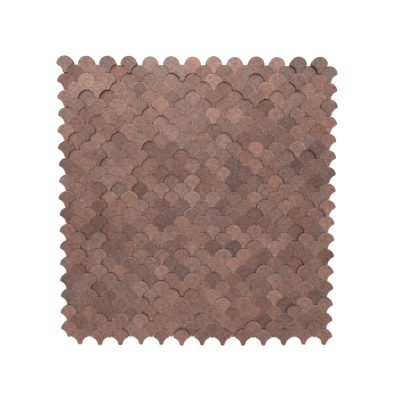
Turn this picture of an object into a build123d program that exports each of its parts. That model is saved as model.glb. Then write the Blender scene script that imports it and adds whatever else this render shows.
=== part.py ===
from build123d import *
import os
import random

# Self-adhesive mosaic sheet: rows of fish-scale metal chips, laid in half bond on one adhesive backing.
# The sheet lies flat with its chips up: X runs along the rows, and row 1 is at the +Y edge.
# The origin is under the middle of the sheet, on the adhesive face.

# Driving dimensions, in millimetres
columns = 13
rows = 34
dome_radius = 8.7
tip_width = 4.0
row_pitch = 8.55
joint_gap = 0.05
corner_ease = 0.5
thinnest_chip = 2.5
stock_step = 1.0
stock_count = 4
backing_thickness = 0.8
backing_inset = 0.6

# Every chip is cut from one of a few stocks, each thicker than the last by a step, so the face is uneven.
# The draw is fixed, so each chip keeps its stock.
stocks = [thinnest_chip + step * stock_step for step in range(stock_count)]
stock_draw = random.Random(112)

# Sizes that follow
hollow_radius = dome_radius + joint_gap
column_pitch = 2 * hollow_radius + tip_width
bond_shift = column_pitch / 2
tip_drop = 2 * row_pitch - hollow_radius
row_length = (columns - 1) * column_pitch + bond_shift
sheet_height = dome_radius + (rows - 1) * row_pitch + tip_drop


def chip_place(row, column):
    """X and Y of the middle of a chip's round head, with row and column counted from 0."""
    x = column * column_pitch + (row % 2) * bond_shift - row_length / 2
    y = sheet_height / 2 - dome_radius - row * row_pitch
    return x, y


def chip_outline(inset=0.0):
    """A round head that narrows to a flat tip between two hollows, which clear the heads of the row below."""
    head = dome_radius - inset
    hollow = hollow_radius + inset
    drop = tip_drop - inset
    # The ear is where the head's circle meets the hollow's, and the waist is the hollow's point nearest the middle.
    reach = (bond_shift**2 + row_pitch**2) ** 0.5
    along = (head**2 - hollow**2 + reach**2) / (2 * reach)
    across = (head**2 - along**2) ** 0.5
    ear_x = (along * bond_shift + across * row_pitch) / reach
    ear_y = (across * bond_shift - along * row_pitch) / reach
    waist_x = bond_shift * (1 - hollow / reach)
    waist_y = -row_pitch * (1 - hollow / reach)
    toe_x = bond_shift - (hollow**2 - (row_pitch - drop) ** 2) ** 0.5
    dome = ThreePointArc((-ear_x, ear_y), (0, head), (ear_x, ear_y))
    right_side = ThreePointArc((ear_x, ear_y), (waist_x, waist_y), (toe_x, -drop))
    tip = Line((toe_x, -drop), (-toe_x, -drop))
    left_side = ThreePointArc((-toe_x, -drop), (-waist_x, waist_y), (-ear_x, ear_y))
    return make_face([dome, right_side, tip, left_side])


def backing_outline():
    """The chips' common outline, drawn in by the inset: a plain field with the edge chips added to it."""
    shoulder = (dome_radius**2 - (bond_shift - dome_radius) ** 2) ** 0.5
    first_y = chip_place(0, 0)[1]
    last_y = chip_place(rows - 1, 0)[1]
    top = first_y - row_pitch + shoulder - backing_inset
    bottom = last_y + row_pitch - tip_drop + backing_inset
    field_width = row_length + tip_width - 2 * backing_inset
    field = Pos(0, (top + bottom) / 2) * Rectangle(field_width, top - bottom)
    edge_chip = chip_outline(backing_inset)
    edges = []
    for row in range(rows):
        for column in range(columns):
            if row in (0, rows - 1) or column in (0, columns - 1):
                x, y = chip_place(row, column)
                edges.append(Pos(x, y) * edge_chip)
    return field + edges


def chip_row(row, chip_of_stock):
    """One row of loose chips, each seated on the backing."""
    chips = []
    for column in range(columns):
        x, y = chip_place(row, column)
        chip = chip_of_stock[stock_draw.choice(stocks)]
        chips.append(Pos(x, y, backing_thickness) * chip)
    return Compound(chips)


outline = chamfer(chip_outline().vertices(), corner_ease)
chip_of_stock = {thickness: extrude(outline, thickness).solid() for thickness in stocks}

os.makedirs("parts", exist_ok=True)
export_step(extrude(backing_outline(), backing_thickness), "parts/adhesive_backing.step")
for row in range(rows):
    export_step(chip_row(row, chip_of_stock), f"parts/chip_row_{row + 1:02d}.step")
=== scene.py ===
"""Looks of a self-adhesive mosaic sheet: fish-scale chips with a brushed copper-brown skin on a backing.

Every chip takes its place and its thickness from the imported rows, so it stands where its solid does.
"""

import logging
import math
from dataclasses import dataclass
from enum import Enum
from typing import Any

import bmesh
import bpy
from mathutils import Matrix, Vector


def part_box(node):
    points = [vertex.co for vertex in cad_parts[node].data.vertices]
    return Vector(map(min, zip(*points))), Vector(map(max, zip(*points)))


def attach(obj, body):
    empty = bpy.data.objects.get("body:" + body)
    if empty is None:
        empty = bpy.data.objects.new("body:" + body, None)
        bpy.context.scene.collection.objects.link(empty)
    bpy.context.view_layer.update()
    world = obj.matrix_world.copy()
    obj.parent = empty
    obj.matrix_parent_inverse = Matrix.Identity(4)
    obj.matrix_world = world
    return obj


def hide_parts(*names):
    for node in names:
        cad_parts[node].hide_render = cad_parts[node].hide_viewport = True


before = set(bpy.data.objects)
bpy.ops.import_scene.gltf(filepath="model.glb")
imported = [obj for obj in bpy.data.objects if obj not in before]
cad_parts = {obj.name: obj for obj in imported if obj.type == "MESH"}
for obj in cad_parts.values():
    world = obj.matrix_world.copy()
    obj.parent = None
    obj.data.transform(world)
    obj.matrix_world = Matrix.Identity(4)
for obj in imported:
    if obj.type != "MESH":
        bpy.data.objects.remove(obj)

Colour = tuple[float, float, float, float]
Triple = tuple[float, float, float]
Point = tuple[float, float]
Inputs = dict[str | int, Any]
Socket = bpy.types.NodeSocket

MM = 0.001
BODY = "root"
ROW_PREFIX = "chip_row_"
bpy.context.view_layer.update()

log = logging.getLogger("mosaic_sheet")


class Slot(Enum):
    """Material slots of the record."""

    CHIP_METAL = "chip_metal"
    ADHESIVE = "adhesive"


class Mark(Enum):
    """Attributes that the chips carry in their meshes."""

    THICKNESS = "thickness"
    TONE = "tone"
    WARMTH = "warmth"
    TURN = "turn"
    ARCS = "arcs"
    # Strength of each chip's painted highlight along the rim of its head.
    RIM_HIGHLIGHT = "wear"
    MIDDLE = "middle"
    FOOT = "foot"
    EDGE = "edge"


class Setting(Enum):
    """Named inputs of the tree that lays the chips, and its output."""

    PLACES = "Chip places"
    BLANK = "Chip blank"
    SKIN = "Skin finish"
    EDGE = "Edge finish"
    TONE_SPREAD = "Tone spread"
    ARC_SHARE = "Share with arcs"
    PLAY = "Play in the joints"
    SEED = "Seed"
    CHIPS = "Chips"


class Draw(Enum):
    """A chip's random draws, with the number of the stream that each comes from."""

    FIRST_TONE = 0
    SECOND_TONE = 1
    FIRST_WARMTH = 2
    TURN = 3
    ARCS = 4
    # The draw behind the strength of the painted rim highlight.
    RIM_HIGHLIGHT = 5
    SECOND_WARMTH = 6


class Wiring:
    """Adds nodes to one tree and links them."""

    def __init__(self, tree: bpy.types.NodeTree) -> None:
        """Starts with an empty tree."""
        self.tree = tree
        self.tree.nodes.clear()

    @staticmethod
    def socket(sockets: Any, key: str | int) -> Socket:
        """Finds a socket.

        Args:
            sockets: a node's inputs or outputs.
            key: the socket's place, or the name of the socket that the node's options leave in use.

        Returns:
            The socket.
        """
        if isinstance(key, int):
            return sockets[key]
        return next(found for found in sockets if found.name == key and found.enabled)

    def node(self, kind: str, inputs: Inputs | None = None, **options: Any) -> bpy.types.Node:
        """Adds a node.

        Args:
            kind: the node's type.
            inputs: a value for each input that is set, or a socket that is linked to it.
            options: the node's own options.

        Returns:
            The node.
        """
        made = self.tree.nodes.new(kind)
        for name, value in options.items():
            setattr(made, name, value)
        for key, value in (inputs or {}).items():
            target = self.socket(made.inputs, key)
            if isinstance(value, Socket):
                self.tree.links.new(value, target)
            else:
                target.default_value = value
        return made

    def value(
        self,
        kind: str,
        inputs: Inputs | None = None,
        output: str | int = 0,
        **options: Any,
    ) -> Socket:
        """Adds a node for one of its outputs.

        Args:
            kind: the node's type.
            inputs: a value or a socket for each input that is set.
            output: the name or the place of the output.
            options: the node's own options.

        Returns:
            The output's socket.
        """
        return self.socket(self.node(kind, inputs, **options).outputs, output)

    def math(self, operation: str, first: Any, second: Any) -> Socket:
        """Adds an operation on two numbers, each a value or a socket, and returns its socket."""
        return self.value("ShaderNodeMath", {0: first, 1: second}, operation=operation)

    def mean(self, first: Any, second: Any) -> Socket:
        """Adds the mean of two numbers, each a value or a socket, and returns its socket."""
        return self.math("DIVIDE", self.math("ADD", first, second), 2.0)

    def around_zero(self, share: Socket, depth: float) -> Socket:
        """Turns a share from 0 to 1 into a swing of half the depth to each side of 0."""
        return self.math("MULTIPLY", self.math("SUBTRACT", share, 0.5), depth)

    def vector(self, operation: str, first: Any, second: Any) -> Socket:
        """Adds an operation on two vectors, each a value or a socket, and returns its socket."""
        return self.value("ShaderNodeVectorMath", {0: first, 1: second}, operation=operation)

    def scaled(self, vector: Any, factor: Any) -> Socket:
        """Adds a vector times a number, each a value or a socket, and returns its socket."""
        return self.value("ShaderNodeVectorMath", {0: vector, "Scale": factor}, operation="SCALE")

    def length(self, vector: Socket) -> Socket:
        """Adds the length of a vector and returns its socket."""
        return self.value("ShaderNodeVectorMath", {0: vector}, output="Value", operation="LENGTH")

    def side(self, vector: Socket, axis: str) -> Socket:
        """Adds the part of a vector along one axis and returns its socket."""
        return self.value("ShaderNodeSeparateXYZ", {"Vector": vector}, output=axis)

    def blend(self, kind: str, share: Any, first: Any, second: Any) -> Socket:
        """Adds a blend of two colours or vectors, by a share of the second, and returns its socket."""
        inputs = {"Factor": share, "A": first, "B": second}
        return self.value("ShaderNodeMix", inputs, output="Result", data_type=kind)

    def bump(self, height: Socket, strength: float, depth: float) -> Socket:
        """Adds relief of a depth in metres and returns the socket of its normal."""
        inputs = {"Height": height, "Strength": strength, "Distance": depth}
        return self.value("ShaderNodeBump", inputs)

    def surface(self, inputs: Inputs) -> None:
        """Adds a surface and makes it the material's output."""
        shader = self.value("ShaderNodeBsdfPrincipled", inputs, output="BSDF")
        self.node("ShaderNodeOutputMaterial", {"Surface": shader})


def new_material(name: str) -> tuple[bpy.types.Material, Wiring]:
    """Makes a material.

    Args:
        name: the material's name.

    Returns:
        The material, and the wiring of its empty tree.
    """
    made = bpy.data.materials.new(name)
    made.use_nodes = True
    return made, Wiring(made.node_tree)


def put_in_scene(name: str, data: bpy.types.ID) -> bpy.types.Object:
    """Makes an object and puts it in the scene.

    Args:
        name: the object's name.
        data: its mesh, lamp or camera.

    Returns:
        The object.
    """
    made = bpy.data.objects.new(name, data)
    bpy.context.scene.collection.objects.link(made)
    return made


@dataclass(frozen=True)
class ChipBlank:
    """One fish-scale chip: a round head that narrows to a flat tip between two hollows.

    Its origin is the middle of the head, on the top face. The foot's ring lies there too, until it is
    lowered by the chip's thickness. The head and the hollows have points at the same turns, and the head
    has one more beside its top. The corners are eased.
    """

    dome_radius: float = 8.7 * MM
    tip_width: float = 4.0 * MM
    row_pitch: float = 8.55 * MM
    joint_gap: float = 0.05 * MM
    tip_ease: float = 1.0 * MM
    play: float = 0.035 * MM
    lip_width: float = 0.065 * MM
    lip_drop: float = 0.04 * MM
    facets: int = 5
    facet_turn: float = math.radians(12.5)
    first_turn: float = math.radians(7.5)
    top_turn: float = math.radians(80.0)

    @property
    def hollow_radius(self) -> float:
        """Radius of the two hollows, which clear the heads of the row below."""
        return self.dome_radius + self.joint_gap

    @property
    def bond_shift(self) -> float:
        """Half the distance from chip to chip along a row."""
        return self.hollow_radius + self.tip_width / 2

    @property
    def tip_drop(self) -> float:
        """Distance from the middle of the head down to the tip."""
        return 2 * self.row_pitch - self.hollow_radius

    def outline(self, inset: float) -> list[Point]:
        """Draws the outline, from the top of the head round to the right.

        Args:
            inset: how far the outline is drawn in.

        Returns:
            The outline's points.
        """
        head = self.dome_radius - inset
        hollow = self.hollow_radius + inset
        drop = self.tip_drop - inset
        # The ear is where the head's circle meets the hollow's. The toe is where the hollow meets the tip.
        reach = math.hypot(self.bond_shift, self.row_pitch)
        along = (head**2 - hollow**2 + reach**2) / (2 * reach)
        across = math.sqrt(head**2 - along**2)
        ear = (
            (along * self.bond_shift + across * self.row_pitch) / reach,
            (across * self.bond_shift - along * self.row_pitch) / reach,
        )
        toe = (self.bond_shift - math.sqrt(hollow**2 - (self.row_pitch - drop) ** 2), -drop)
        tip_end = (toe[0] - self.tip_ease, -drop)
        turns = [self.first_turn + self.facet_turn * step for step in range(self.facets, -1, -1)]
        dome = self.arc((0.0, 0.0), head, [math.pi / 2, self.top_turn, *turns])
        side = self.arc((self.bond_shift, -self.row_pitch), hollow, [math.pi - turn for turn in turns])
        eased_ear = self.eased(dome[-1], ear, side[0])
        eased_toe = self.eased(side[-1], toe, tip_end)
        half = [*dome, eased_ear, *side, eased_toe, tip_end]
        return half + [(-x, y) for x, y in reversed(half[1:])]

    @staticmethod
    def arc(middle: Point, radius: float, turns: list[float]) -> list[Point]:
        """Draws an arc about its middle, with a point at each turn in radians."""
        return [(middle[0] + radius * math.cos(t), middle[1] + radius * math.sin(t)) for t in turns]

    @staticmethod
    def eased(before: Point, corner: Point, after: Point) -> Point:
        """The middle of the curve that eases a corner between the points before and after it."""
        return tuple((a + 2 * b + c) / 4 for a, b, c in zip(before, corner, after))

    def build(self) -> bpy.types.Object:
        """Makes the blank's mesh: crown, lip, cut side and foot.

        Returns:
            The blank's object.
        """
        solid = bmesh.new()
        foot_mark = solid.verts.layers.bool.new(Mark.FOOT.value)
        edge_mark = solid.faces.layers.bool.new(Mark.EDGE.value)
        crown = [solid.verts.new((x, y, 0.0)) for x, y in self.outline(self.play + self.lip_width)]
        rim = [solid.verts.new((x, y, -self.lip_drop)) for x, y in self.outline(self.play)]
        foot = [solid.verts.new((x, y, 0.0)) for x, y in self.outline(self.play)]
        for corner in foot:
            corner[foot_mark] = True
        solid.faces.new(reversed(crown))
        solid.faces.new(foot)[edge_mark] = True
        for upper, lower in ((crown, rim), (rim, foot)):
            for here in range(len(upper)):
                after = (here + 1) % len(upper)
                face = solid.faces.new((upper[here], upper[after], lower[after], lower[here]))
                face.smooth = True
                face[edge_mark] = True
        for here, corner in enumerate(rim):
            solid.edges.get((corner, rim[here - 1])).smooth = False
        mesh = bpy.data.meshes.new("chip_blank")
        solid.to_mesh(mesh)
        solid.free()
        return put_in_scene("chip_blank", mesh)


@dataclass(frozen=True)
class BrushedSkin:
    """The chips' copper-brown skin, brushed straight on most chips and in arcs about the tip on some.

    All chips share one pattern of streaks. The chips' middles lie further apart in it than on the sheet,
    by the factor of spacing, so each chip shows its own part.
    """

    chip: ChipBlank
    rosy: Colour = (0.233, 0.117, 0.089, 1.0)
    mauve: Colour = (0.198, 0.129, 0.112, 1.0)
    # Pale colour of the painted highlight along the rim of the head, standing in for light caught by the
    # edge.
    rim_highlight_colour: Colour = (0.57, 0.42, 0.38, 1.0)
    roughness: float = 0.42
    roughness_swing: float = 0.16
    scratch_width: float = 0.5 * MM
    scratch_length: float = 6.0 * MM
    scratch_depth: float = 0.02 * MM
    scratch_strength: float = 0.35
    scratch_shade: float = 2.3
    band_width: float = 1.2 * MM
    band_length: float = 5.0 * MM
    band_shade: float = 1.3
    streak_detail: float = 3.0
    streak_roughness: float = 0.65
    # Painted shading: how much lighter one side of each chip is than the other.
    painted_tilt_shade: float = 0.06
    # Width of the band of painted highlight inside the head's edge.
    rim_width: float = 0.8 * MM
    spacing: float = 3.0

    def material(self) -> bpy.types.Material:
        """Makes the skin's material.

        Returns:
            The material.
        """
        made, wires = new_material("brushed_skin")
        place = wires.value("ShaderNodeTexCoord", output="Object")
        middle = self.mark(wires, Mark.MIDDLE, "Vector")
        from_middle = wires.vector("SUBTRACT", place, middle)
        turned = wires.value(
            "ShaderNodeVectorRotate",
            {"Vector": from_middle, "Angle": self.mark(wires, Mark.TURN)},
            rotation_type="Z_AXIS",
        )
        apart = wires.scaled(middle, self.spacing)
        grain = wires.vector("ADD", self.grain(wires, from_middle, turned), apart)
        scratches = self.streaks(wires, grain, self.scratch_width, self.scratch_length)
        bands = self.streaks(wires, grain, self.band_width, self.band_length)
        # A painted highlight along the upper rim of the head.
        rim = self.painted_rim_highlight(wires, from_middle)
        swing = wires.around_zero(bands, self.roughness_swing)
        wires.surface(
            {
                "Base Color": self.colour(wires, turned, scratches, bands, rim),
                "Metallic": 1.0,
                "Roughness": wires.math("ADD", self.roughness, swing),
                "Normal": wires.bump(scratches, self.scratch_strength, self.scratch_depth),
            }
        )
        return made

    @staticmethod
    def mark(wires: Wiring, mark: Mark, output: str = "Fac") -> Socket:
        """Reads one of the chip's marks."""
        return wires.value("ShaderNodeAttribute", output=output, attribute_name=mark.value)

    def grain(self, wires: Wiring, from_middle: Socket, turned: Socket) -> Socket:
        """Finds the place across and along a chip's grain.

        Args:
            wires: the material's tree.
            from_middle: the place from the chip's middle.
            turned: the same place, turned to the straight grain.

        Returns:
            The place by the straight grain, or by arcs about the tip on the chips that have them.
        """
        from_tip = wires.vector("ADD", from_middle, (0.0, self.chip.tip_drop, 0.0))
        reach = wires.length(from_tip)
        angle = wires.math("ARCTAN2", wires.side(from_tip, "X"), wires.side(from_tip, "Y"))
        sweep = wires.math("MULTIPLY", angle, reach)
        arcs = wires.value("ShaderNodeCombineXYZ", {"X": reach, "Y": sweep})
        return wires.blend("VECTOR", self.mark(wires, Mark.ARCS), turned, arcs)

    def painted_rim_highlight(self, wires: Wiring, from_middle: Socket) -> Socket:
        """Finds where the painted highlight lies along the rim of the round head.

        Args:
            wires: the material's tree.
            from_middle: the place from the chip's middle.

        Returns:
            How strong the painted highlight is: 0 inside the rim, and the chip's own highlight strength at
                its edge.
        """
        # The highlight is painted as a pale band along the head's edge, on its upper half only.
        rim = wires.value(
            "ShaderNodeMapRange",
            {
                "Value": wires.length(from_middle),
                "From Min": self.chip.dome_radius - self.rim_width,
                "From Max": self.chip.dome_radius,
            },
            output="Result",
            interpolation_type="SMOOTHSTEP",
        )
        on_head = wires.math("GREATER_THAN", wires.side(from_middle, "Y"), 0.0)
        return wires.math("MULTIPLY", wires.math("MULTIPLY", rim, on_head), self.mark(wires, Mark.RIM_HIGHLIGHT))

    def streaks(self, wires: Wiring, grain: Socket, width: float, length: float) -> Socket:
        """Draws streaks along the grain.

        Args:
            wires: the material's tree.
            grain: the place across and along the grain.
            width: the streaks' width.
            length: their length.

        Returns:
            A share from 0 to 1.
        """
        stretched = wires.value(
            "ShaderNodeMapping",
            {"Vector": grain, "Scale": (1 / width, 1 / length, 0.0)},
        )
        return wires.value(
            "ShaderNodeTexNoise",
            {
                "Vector": stretched,
                "Scale": 1.0,
                "Detail": self.streak_detail,
                "Roughness": self.streak_roughness,
            },
        )

    def colour(
        self,
        wires: Wiring,
        turned: Socket,
        scratches: Socket,
        bands: Socket,
        rim: Socket,
    ) -> Socket:
        """Mixes the chip's colour, shades it by its tone, a painted shading slope and streaks, and paints
        a pale highlight on the rim.

        Args:
            wires: the material's tree.
            turned: the place from the chip's middle, turned to the straight grain.
            scratches: the fine scratches, as a share.
            bands: the broad bands, as a share.
            rim: how strong the painted rim highlight is, as a share.

        Returns:
            The colour's socket.
        """
        stain = wires.blend("RGBA", self.mark(wires, Mark.WARMTH), self.mauve, self.rosy)
        # Painted shading: each chip is lighter towards one side and darker towards the other, in its own
        # random direction.
        across = wires.side(turned, "X")
        tilt_shade = wires.math("MULTIPLY", across, self.painted_tilt_shade / self.chip.dome_radius)
        swing = wires.math(
            "ADD",
            wires.around_zero(scratches, self.scratch_shade),
            wires.around_zero(bands, self.band_shade),
        )
        shade = wires.math("ADD", wires.math("ADD", swing, tilt_shade), 1.0)
        shaded = wires.scaled(stain, wires.math("MULTIPLY", shade, self.mark(wires, Mark.TONE)))
        # Paints the pale highlight over the rim.
        return wires.blend("RGBA", rim, shaded, self.rim_highlight_colour)


@dataclass(frozen=True)
class CutEdge:
    """The chips' cut sides and lips: dull, with faint saw marks."""

    dark: Colour = (0.21, 0.126, 0.104, 1.0)
    pale: Colour = (0.32, 0.192, 0.157, 1.0)
    gloss: float = 0.0
    roughness: float = 0.7
    mark_size: float = 0.5 * MM
    mark_detail: float = 2.0
    mark_depth: float = 0.03 * MM
    mark_strength: float = 0.4

    def material(self) -> bpy.types.Material:
        """Makes the edge's material.

        Returns:
            The material.
        """
        made, wires = new_material("cut_edge")
        place = wires.value("ShaderNodeTexCoord", output="Object")
        marks = wires.value(
            "ShaderNodeTexNoise",
            {"Vector": place, "Scale": 1 / self.mark_size, "Detail": self.mark_detail},
        )
        wires.surface(
            {
                "Base Color": wires.blend("RGBA", marks, self.dark, self.pale),
                "Specular IOR Level": self.gloss,
                "Roughness": self.roughness,
                "Normal": wires.bump(marks, self.mark_strength, self.mark_depth),
            }
        )
        return made


@dataclass(frozen=True)
class AdhesiveFoam:
    """The backing's matte foam film, with fine cells and a soft mottling."""

    dark: Colour = (0.10, 0.095, 0.095, 1.0)
    pale: Colour = (0.21, 0.20, 0.20, 1.0)
    roughness: float = 0.85
    cell_size: float = 0.9 * MM
    cell_depth: float = 0.08 * MM
    cell_strength: float = 0.5
    mottle_size: float = 14.0 * MM
    mottle_detail: float = 4.0
    pale_share: float = 0.6

    def material(self) -> bpy.types.Material:
        """Makes the film's material.

        Returns:
            The material.
        """
        made, wires = new_material("adhesive_foam")
        place = wires.value("ShaderNodeTexCoord", output="Object")
        cells = wires.value(
            "ShaderNodeTexVoronoi",
            {"Vector": place, "Scale": 1 / self.cell_size},
            output="Distance",
        )
        mottle = wires.value(
            "ShaderNodeTexNoise",
            {"Vector": place, "Scale": 1 / self.mottle_size, "Detail": self.mottle_detail},
        )
        share = wires.math("MULTIPLY", wires.math("ADD", cells, mottle), self.pale_share)
        wires.surface(
            {
                "Base Color": wires.blend("RGBA", share, self.dark, self.pale),
                "Roughness": self.roughness,
                "Normal": wires.bump(cells, self.cell_strength, self.cell_depth),
            }
        )
        return made


class ChipLaying:
    """The tree of Geometry Nodes that sets a chip on each place and gives it its own marks.

    Each seed has streams of random numbers to itself, one of them for each draw.
    """

    streams_a_seed: int = 10

    def __init__(self) -> None:
        """Builds the tree."""
        self.tree = bpy.data.node_groups.new("chip_laying", "GeometryNodeTree")
        self.tree.is_modifier = True
        self.add_settings()
        self.build()

    def add_settings(self) -> None:
        """Gives the tree its named inputs and its output."""
        kinds = {
            Setting.PLACES: "NodeSocketGeometry",
            Setting.BLANK: "NodeSocketObject",
            Setting.SKIN: "NodeSocketMaterial",
            Setting.EDGE: "NodeSocketMaterial",
            Setting.TONE_SPREAD: "NodeSocketFloat",
            Setting.ARC_SHARE: "NodeSocketFloat",
            Setting.PLAY: "NodeSocketVector",
            Setting.SEED: "NodeSocketInt",
        }
        sockets = self.tree.interface
        for setting, kind in kinds.items():
            sockets.new_socket(setting.value, in_out="INPUT", socket_type=kind)
        sockets.new_socket(Setting.CHIPS.value, in_out="OUTPUT", socket_type="NodeSocketGeometry")

    def identifier(self, setting: Setting) -> str:
        """The identifier by which a modifier holds one of the inputs."""
        items = self.tree.interface.items_tree
        return next(i.identifier for i in items if i.in_out == "INPUT" and i.name == setting.value)

    def build(self) -> None:
        """Draws the marks, lays the chips, lowers their feet and gives them their finishes."""
        wires = Wiring(self.tree)
        given = wires.node("NodeGroupInput").outputs
        places = given[Setting.PLACES.value]
        for mark, kind, source in self.marks(wires, given):
            places = wires.value(
                "GeometryNodeStoreNamedAttribute",
                {"Geometry": places, "Name": mark.value, "Value": source},
                data_type=kind,
                domain="POINT",
            )
        nudge = wires.value(
            "FunctionNodeRandomValue",
            {
                "Min": wires.scaled(given[Setting.PLAY.value], -1.0),
                "Max": given[Setting.PLAY.value],
                "Seed": given[Setting.SEED.value],
            },
            output="Value",
            data_type="FLOAT_VECTOR",
        )
        places = wires.value("GeometryNodeSetPosition", {"Geometry": places, "Offset": nudge})
        chip = given[Setting.BLANK.value]
        blank = wires.value("GeometryNodeObjectInfo", {"Object": chip}, output="Geometry")
        laid = wires.value("GeometryNodeInstanceOnPoints", {"Points": places, "Instance": blank})
        real = wires.value("GeometryNodeRealizeInstances", {"Geometry": laid})
        lowered = wires.math("MULTIPLY", self.read(wires, Mark.THICKNESS, "FLOAT"), -1.0)
        standing = wires.value(
            "GeometryNodeSetPosition",
            {
                "Geometry": real,
                "Selection": self.read(wires, Mark.FOOT, "BOOLEAN"),
                "Offset": wires.value("ShaderNodeCombineXYZ", {"Z": lowered}),
            },
        )
        skinned = wires.value(
            "GeometryNodeSetMaterial",
            {"Geometry": standing, "Material": given[Setting.SKIN.value]},
        )
        dressed = wires.value(
            "GeometryNodeSetMaterial",
            {
                "Geometry": skinned,
                "Selection": self.read(wires, Mark.EDGE, "BOOLEAN"),
                "Material": given[Setting.EDGE.value],
            },
        )
        wires.node("NodeGroupOutput", {Setting.CHIPS.value: dressed})

    @staticmethod
    def read(wires: Wiring, mark: Mark, kind: str) -> Socket:
        """Reads a mark of the given kind of data."""
        inputs = {"Name": mark.value}
        return wires.value("GeometryNodeInputNamedAttribute", inputs, output="Attribute", data_type=kind)

    def drawn(self, wires: Wiring, seed: Socket, draw: Draw) -> Socket:
        """Draws a share from 0 to 1 for each chip.

        Args:
            wires: the tree.
            seed: the piece's seed.
            draw: the draw, which has a stream of its own.

        Returns:
            The share's socket.
        """
        stream = wires.math("ADD", wires.math("MULTIPLY", seed, self.streams_a_seed), draw.value)
        inputs = {"Seed": stream}
        return wires.value("FunctionNodeRandomValue", inputs, output="Value", data_type="FLOAT")

    def marks(self, wires: Wiring, given: Any) -> list[tuple[Mark, str, Socket]]:
        """Makes each chip's own marks from its draws.

        Args:
            wires: the tree.
            given: the tree's inputs.

        Returns:
            A mark, its kind of data and its socket, for each value.
        """
        shares = {draw: self.drawn(wires, given[Setting.SEED.value], draw) for draw in Draw}
        tones = wires.math("ADD", shares[Draw.FIRST_TONE], shares[Draw.SECOND_TONE])
        swing = wires.math("SUBTRACT", tones, 1.0)
        tone = wires.math("ADD", wires.math("MULTIPLY", swing, given[Setting.TONE_SPREAD.value]), 1.0)
        warmth = wires.mean(shares[Draw.FIRST_WARMTH], shares[Draw.SECOND_WARMTH])
        turn = wires.math("MULTIPLY", shares[Draw.TURN], math.tau)
        arcs = wires.math("LESS_THAN", shares[Draw.ARCS], given[Setting.ARC_SHARE.value])
        # Strength of the painted rim highlight: a share squared, so most chips get little of it.
        wear = wires.math("MULTIPLY", shares[Draw.RIM_HIGHLIGHT], shares[Draw.RIM_HIGHLIGHT])
        return [
            (Mark.TONE, "FLOAT", tone),
            (Mark.WARMTH, "FLOAT", warmth),
            (Mark.TURN, "FLOAT", turn),
            (Mark.ARCS, "FLOAT", arcs),
            (Mark.RIM_HIGHLIGHT, "FLOAT", wear),
            (Mark.MIDDLE, "FLOAT_VECTOR", wires.value("GeometryNodeInputPosition")),
        ]


@dataclass
class ChipRows:
    """All rows of chips, built as pieces of a few rows each."""

    blank: ChipBlank
    skin: BrushedSkin
    edge: CutEdge
    rows_a_piece: int = 2
    tone_spread: float = 0.37
    arc_share: float = 0.4
    first_seed: int = 7

    @staticmethod
    def names() -> list[str]:
        """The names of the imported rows, in order."""
        return sorted(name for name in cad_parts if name.startswith(ROW_PREFIX))

    def places(self, row: str, seat: float) -> tuple[list[Vector], list[float]]:
        """Reads where the chips of a packed row stand.

        Args:
            row: the row's name.
            seat: the height of the face that the chips stand on.

        Returns:
            The middle of each chip's head on its top face, and each chip's thickness.
        """
        low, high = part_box(row)
        pitch = 2 * self.blank.bond_shift
        columns = round((high.x - low.x) / pitch)
        first = (low.x + high.x - (columns - 1) * pitch) / 2
        tops = [seat] * columns
        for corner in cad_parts[row].data.vertices:
            column = round((corner.co.x - first) / pitch)
            tops[column] = max(tops[column], corner.co.z)
        head_y = low.y + self.blank.tip_drop
        middles = [Vector((first + column * pitch, head_y, top)) for column, top in enumerate(tops)]
        return middles, [top - seat for top in tops]

    def build(self) -> list[bpy.types.Object]:
        """Lays every piece and dresses it.

        Returns:
            The pieces.
        """
        laying = ChipLaying()
        blank = self.blank.build()
        given = {
            Setting.BLANK: blank,
            Setting.SKIN: self.skin.material(),
            Setting.EDGE: self.edge.material(),
            Setting.TONE_SPREAD: self.tone_spread,
            Setting.ARC_SHARE: self.arc_share,
            Setting.PLAY: (self.blank.play, self.blank.play, 0.0),
        }
        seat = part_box("adhesive_backing")[1].z
        names = self.names()
        pieces = []
        for start in range(0, len(names), self.rows_a_piece):
            rows = names[start:start + self.rows_a_piece]
            given[Setting.SEED] = self.first_seed + start
            pieces.append(self.build_piece(rows, seat, laying, given))
        bpy.data.objects.remove(blank)
        return pieces

    def build_piece(
        self,
        rows: list[str],
        seat: float,
        laying: ChipLaying,
        given: dict[Setting, Any],
    ) -> bpy.types.Object:
        """Lays the chips of some rows as one piece, and puts it in place of those rows.

        Args:
            rows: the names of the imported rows.
            seat: the height of the face that the chips stand on.
            laying: the tree that lays the chips.
            given: the tree's inputs.

        Returns:
            The piece.
        """
        middles, thicknesses = [], []
        for row in rows:
            row_middles, row_thicknesses = self.places(row, seat)
            middles += row_middles
            thicknesses += row_thicknesses
        name = "chip_rows_" + "_".join(row.removeprefix(ROW_PREFIX) for row in rows)
        points = bpy.data.meshes.new(name)
        points.from_pydata(middles, [], [])
        mark = points.attributes.new(Mark.THICKNESS.value, "FLOAT", "POINT")
        mark.data.foreach_set("value", thicknesses)
        piece = put_in_scene(name, points)
        modifier = piece.modifiers.new("chip_laying", "NODES")
        modifier.node_group = laying.tree
        for setting, value in given.items():
            modifier[laying.identifier(setting)] = value
        graph = bpy.context.evaluated_depsgraph_get()
        laid = bpy.data.meshes.new_from_object(
            piece.evaluated_get(graph),
            preserve_all_data_layers=True,
            depsgraph=graph,
        )
        piece.modifiers.remove(modifier)
        piece.data = laid
        bpy.data.meshes.remove(points)
        laid.name = name
        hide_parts(*rows)
        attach(piece, BODY)
        return piece


@dataclass
class Backing:
    """The adhesive backing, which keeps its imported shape."""

    film: AdhesiveFoam

    def dress(self) -> bpy.types.Object:
        """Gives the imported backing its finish.

        Returns:
            The backing.
        """
        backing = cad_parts["adhesive_backing"]
        backing.data.materials.clear()
        backing.data.materials.append(self.film.material())
        return backing


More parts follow.
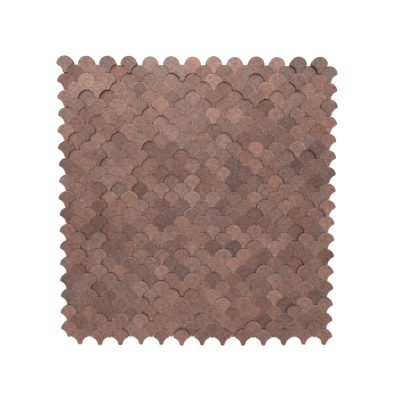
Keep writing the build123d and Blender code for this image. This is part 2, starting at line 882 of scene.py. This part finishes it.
@dataclass(frozen=True)
class SoftLamp:
    """A soft lamp that shines on the middle of the sheet, with its sizes in metres."""

    name: str
    place: Triple
    width: float
    length: float
    watts: float
    tint: Triple

    def build(self) -> None:
        """Makes the lamp."""
        data = bpy.data.lights.new(self.name, "AREA")
        data.shape = "RECTANGLE"
        data.size = self.width
        data.size_y = self.length
        data.energy = self.watts
        data.color = self.tint
        made = put_in_scene(self.name, data)
        made.location = self.place
        made.rotation_euler = (-Vector(self.place)).to_track_quat("-Z", "Y").to_euler()


@dataclass
class Studio:
    """A pale floor, an even surround that is seen white, two soft lamps and the camera.

    The camera's turns are in degrees, and its lens and sensor are in millimetres, as Blender takes them.
    """

    window: SoftLamp = SoftLamp(
        name="window_lamp",
        place=(-0.15, 1.27, 1.07),
        width=1.3,
        length=1.7,
        watts=24.5,
        tint=(0.86, 1.0, 1.03),
    )
    ceiling: SoftLamp = SoftLamp(
        name="ceiling_lamp",
        place=(-0.1, -0.8, 1.3),
        width=0.4,
        length=1.6,
        watts=1.3,
        tint=(1.0, 1.0, 1.0),
    )
    surround: float = 0.05
    floor_size: float = 2.4
    floor_shade: float = 0.5
    floor_glow: float = 0.92
    camera_place: Triple = (-0.86 * MM, 33.63 * MM, 479.6 * MM)
    camera_turn: Triple = (-3.612, -0.409, 0.194)
    lens: float = 41.45
    sensor: float = 36.0
    nearest_seen: float = 10.0 * MM

    def build(self) -> None:
        """Makes the floor, the light and the camera."""
        bpy.context.scene.view_settings.view_transform = "Standard"
        self.build_floor()
        self.build_surround()
        self.window.build()
        self.ceiling.build()
        self.build_camera()

    @staticmethod
    def seen_directly(wires: Wiring) -> Socket:
        """Tells the rays that see a surface from those that are lit by it.

        Args:
            wires: the tree of the surface or of the surround.

        Returns:
            One for rays from the camera, from gloss and through glass, and zero for the rest.
        """
        path = wires.node("ShaderNodeLightPath").outputs
        gloss = wires.math("MAXIMUM", path["Is Glossy Ray"], path["Is Transmission Ray"])
        return wires.math("MAXIMUM", path["Is Camera Ray"], gloss)

    def build_floor(self) -> None:
        """Lays a pale floor that keeps the shadow and is seen white."""
        half = self.floor_size / 2
        mesh = bpy.data.meshes.new("floor")
        corners = [(-half, -half, 0), (half, -half, 0), (half, half, 0), (-half, half, 0)]
        mesh.from_pydata(corners, [], [(0, 1, 2, 3)])
        floor = put_in_scene("floor", mesh)
        paint, wires = new_material("pale_floor")
        pale = (self.floor_shade, self.floor_shade, self.floor_shade, 1.0)
        matte = wires.value("ShaderNodeBsdfDiffuse", {"Color": pale})
        strength = wires.math("MULTIPLY", self.seen_directly(wires), self.floor_glow)
        glow = wires.value("ShaderNodeEmission", {"Strength": strength})
        both = wires.value("ShaderNodeAddShader", {0: matte, 1: glow})
        wires.node("ShaderNodeOutputMaterial", {"Surface": both})
        mesh.materials.append(paint)

    def build_surround(self) -> None:
        """Surrounds the sheet with even soft light, which is seen white."""
        world = bpy.data.worlds.new("soft_surround")
        world.use_nodes = True
        wires = Wiring(world.node_tree)
        strength = wires.math("MAXIMUM", self.seen_directly(wires), self.surround)
        white = (1.0, 1.0, 1.0, 1.0)
        sky = wires.value("ShaderNodeBackground", {"Color": white, "Strength": strength})
        wires.node("ShaderNodeOutputWorld", {"Surface": sky})
        bpy.context.scene.world = world

    def build_camera(self) -> None:
        """Sets the camera over the sheet."""
        data = bpy.data.cameras.new("photo_camera")
        data.sensor_width = self.sensor
        data.lens = self.lens
        data.clip_start = self.nearest_seen
        camera = put_in_scene("photo_camera", data)
        camera.location = self.camera_place
        camera.rotation_euler = [math.radians(turn) for turn in self.camera_turn]
        bpy.context.scene.camera = camera


def main() -> None:
    """Builds the sheet's pieces in order, then the studio."""
    logging.basicConfig(level=logging.INFO, format="%(message)s")
    blank = ChipBlank()
    chips = ChipRows(blank, BrushedSkin(blank), CutEdge())
    for piece in chips.build():
        log.info("%s: %d faces", piece.name, len(piece.data.polygons))
    backing = Backing(AdhesiveFoam()).dress()
    log.info("%s: %d faces", backing.name, len(backing.data.polygons))
    Studio().build()


if __name__ == "__main__":
    main()
